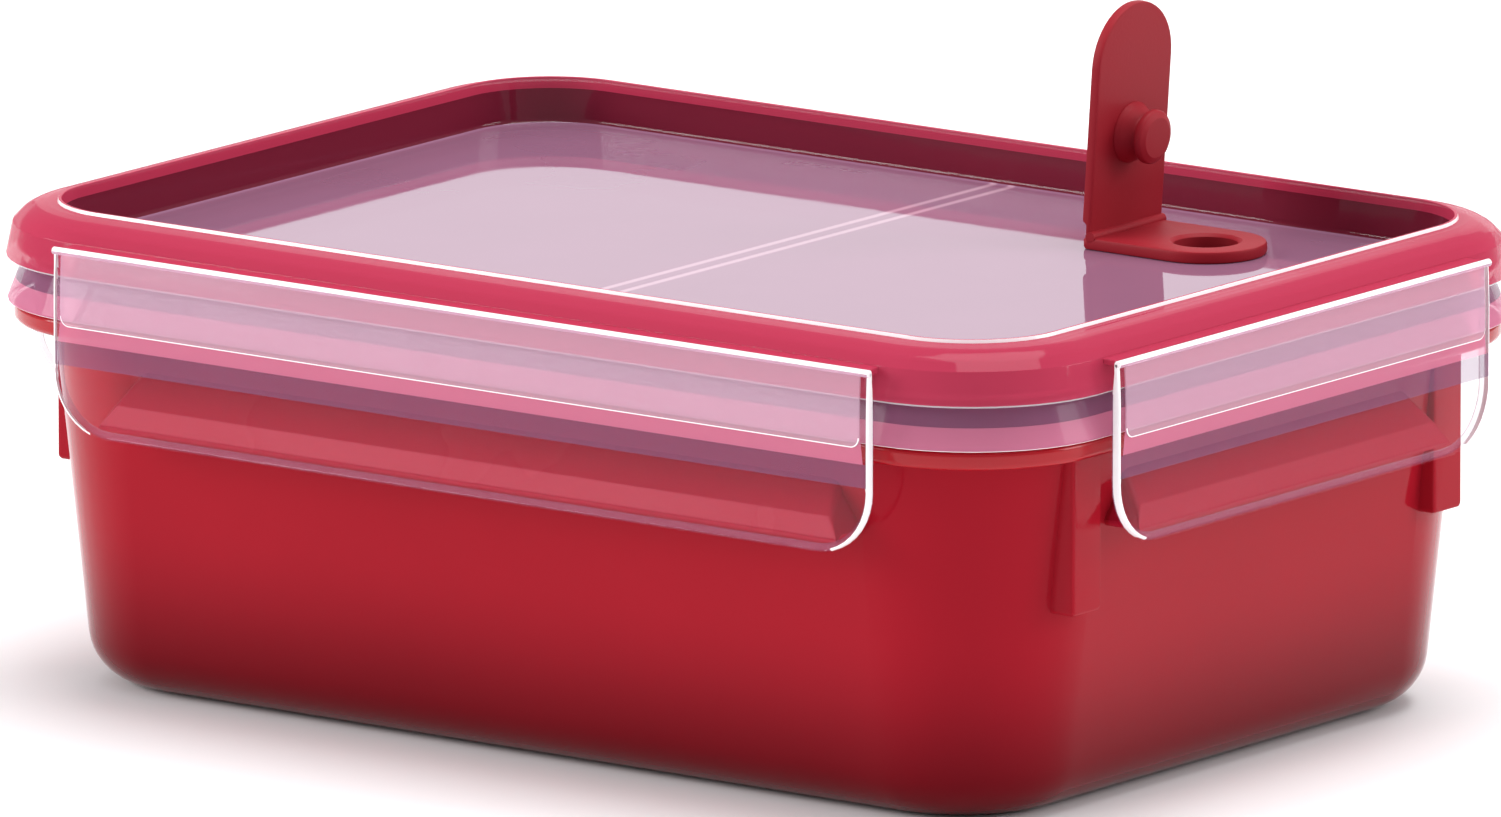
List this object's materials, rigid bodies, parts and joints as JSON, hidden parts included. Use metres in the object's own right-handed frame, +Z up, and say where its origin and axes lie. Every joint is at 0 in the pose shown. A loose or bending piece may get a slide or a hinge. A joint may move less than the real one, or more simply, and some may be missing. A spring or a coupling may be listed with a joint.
{
  "type": "clip-lid food box",
  "caption": "Moulded plastic food box with a clear clip-down lid, red seal, steam vent with a plug on a flap, and two lift-out inserts.",
  "frame": {"origin": "middle of the base, on the surface that the box stands on", "axes": "+X along the box's length, +Y to the rear, +Z up"},
  "size_m": [0.2252, 0.1652, 0.115],
  "materials": {
    "red_plastic": "glossy moulded polypropylene",
    "clear_plastic": "clear moulded plastic, slightly milky",
    "seal_rubber": "smooth silicone",
    "vent_rubber": "matte silicone",
    "insert_plastic": "milky translucent polypropylene"
  },
  "bodies": {
    "container": {"container": "red_plastic"},
    "lid": {"lid": "clear_plastic", "lid_seal": "seal_rubber", "vent_pad": "vent_rubber"},
    "front_clip": {"front_clip": "clear_plastic"},
    "rear_clip": {"rear_clip": "clear_plastic"},
    "left_clip": {"left_clip": "clear_plastic"},
    "right_clip": {"right_clip": "clear_plastic"},
    "vent_flap": {"vent_flap": "vent_rubber"},
    "left_insert": {"left_insert": "insert_plastic"},
    "right_insert": {"right_insert": "insert_plastic"}
  },
  "joints": [
    {"name": "lid_lift", "type": "slide", "parent": "container", "child": "lid", "axis": [0, 0, 1], "range_m": [0, 0.15]},
    {"name": "front_clip_hinge", "type": "hinge", "parent": "lid", "child": "front_clip", "pos_m": [0, -0.08195, 0.07755], "axis": [-1, 0, 0], "range_deg": [0, 130]},
    {"name": "rear_clip_hinge", "type": "hinge", "parent": "lid", "child": "rear_clip", "pos_m": [0, 0.08195, 0.07755], "axis": [1, 0, 0], "range_deg": [0, 130]},
    {"name": "left_clip_hinge", "type": "hinge", "parent": "lid", "child": "left_clip", "pos_m": [-0.11195, 0, 0.07755], "axis": [0, 1, 0], "range_deg": [0, 130]},
    {"name": "right_clip_hinge", "type": "hinge", "parent": "lid", "child": "right_clip", "pos_m": [0.11195, 0, 0.07755], "axis": [0, -1, 0], "range_deg": [0, 130]},
    {"name": "vent_flap_hinge", "type": "hinge", "parent": "lid", "child": "vent_flap", "pos_m": [0.0436, 0.044, 0.07635], "axis": [0, -1, 0], "range_deg": [-86, 50]},
    {"name": "left_insert_lift", "type": "slide", "parent": "container", "child": "left_insert", "axis": [0, 0, 1], "range_m": [0, 0.075]},
    {"name": "right_insert_lift", "type": "slide", "parent": "container", "child": "right_insert", "axis": [0, 0, 1], "range_m": [0, 0.075]}
  ],
  "couplings": [
    {"joint": "left_insert_lift", "follows": "lid_lift", "ratio": 0.5},
    {"joint": "right_insert_lift", "follows": "lid_lift", "ratio": 0.5}
  ]
}
